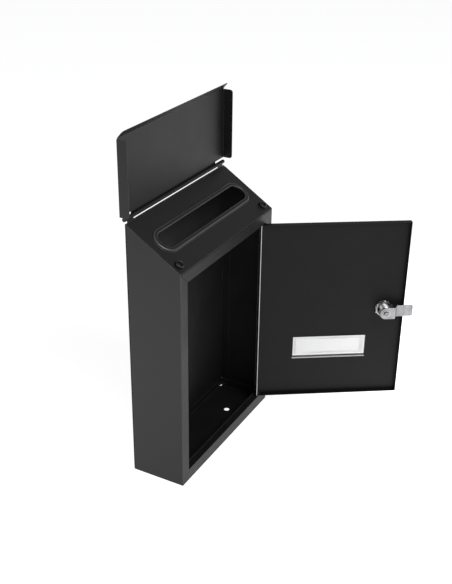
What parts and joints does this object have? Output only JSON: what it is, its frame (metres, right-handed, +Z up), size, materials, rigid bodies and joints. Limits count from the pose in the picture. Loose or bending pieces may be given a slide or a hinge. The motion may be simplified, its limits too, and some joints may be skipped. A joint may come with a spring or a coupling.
{
  "type": "parcel drop box",
  "caption": "Wall-mounted sheet-steel drop box with a letter slot under a hinged lid, a lockable swing door and a name plate.",
  "frame": {"origin": "centre of the underside of the base", "axes": "+X to the viewer's right, +Y to the wall behind the box, +Z up"},
  "size_m": [0.3522, 0.2727, 0.4837],
  "materials": {
    "black_paint": "satin black powder coat, fine texture",
    "black_rubber": "glossy black moulded rubber",
    "steel": "plain steel pins and washers",
    "zinc": "bright nickel plated zinc and steel",
    "brass": "plain brass",
    "clear_plastic": "clear moulded acrylic",
    "white_card": "plain white card"
  },
  "bodies": {
    "case": {"back_panel": "black_paint", "left_side": "black_paint", "right_side": "black_paint", "top_panel": "black_paint", "bottom_panel": "black_paint", "frame_left": "black_paint", "frame_right": "black_paint", "frame_top": "black_paint", "frame_bottom": "black_paint", "bumper_left": "black_rubber", "bumper_right": "black_rubber", "lid_hinge_pin": "black_paint", "door_pin_top": "steel", "door_pin_bottom": "steel"},
    "lid": {"lid": "black_paint"},
    "door": {"door_panel": "black_paint", "name_lens": "clear_plastic", "name_card": "white_card", "name_holder": "clear_plastic", "lock_housing": "zinc", "lock_washer": "steel", "lock_nut": "zinc"},
    "lock_ring": {"lock_spacer": "steel"},
    "lock_core": {"lock_plug": "zinc", "lock_wafers": "brass", "lock_cam": "zinc", "cam_washer": "steel", "cam_screw": "zinc"}
  },
  "joints": [
    {"name": "lid_hinge", "type": "hinge", "parent": "case", "child": "lid", "pos_m": [0, 0.0401, 0.3712], "axis": [1, 0, 0], "range_deg": [0, 123.5]},
    {"name": "door_hinge", "type": "hinge", "parent": "case", "child": "door", "pos_m": [0.10405, -0.0368, 0.158], "axis": [0, 0, 1], "range_deg": [-123.5, 0]},
    {"name": "lock_clear", "type": "hinge", "parent": "door", "child": "lock_ring", "pos_m": [0.20664, -0.18781, 0.1595], "axis": [-0.8339, -0.5519, 0], "range_deg": [0, 90]},
    {"name": "lock_turn", "type": "hinge", "parent": "lock_ring", "child": "lock_core", "pos_m": [0.20664, -0.18781, 0.1595], "axis": [-0.8339, -0.5519, 0], "range_deg": [-90, 0]}
  ],
  "couplings": [
    {"joint": "lock_clear", "follows": "door_hinge", "ratio": -0.7287}
  ]
}
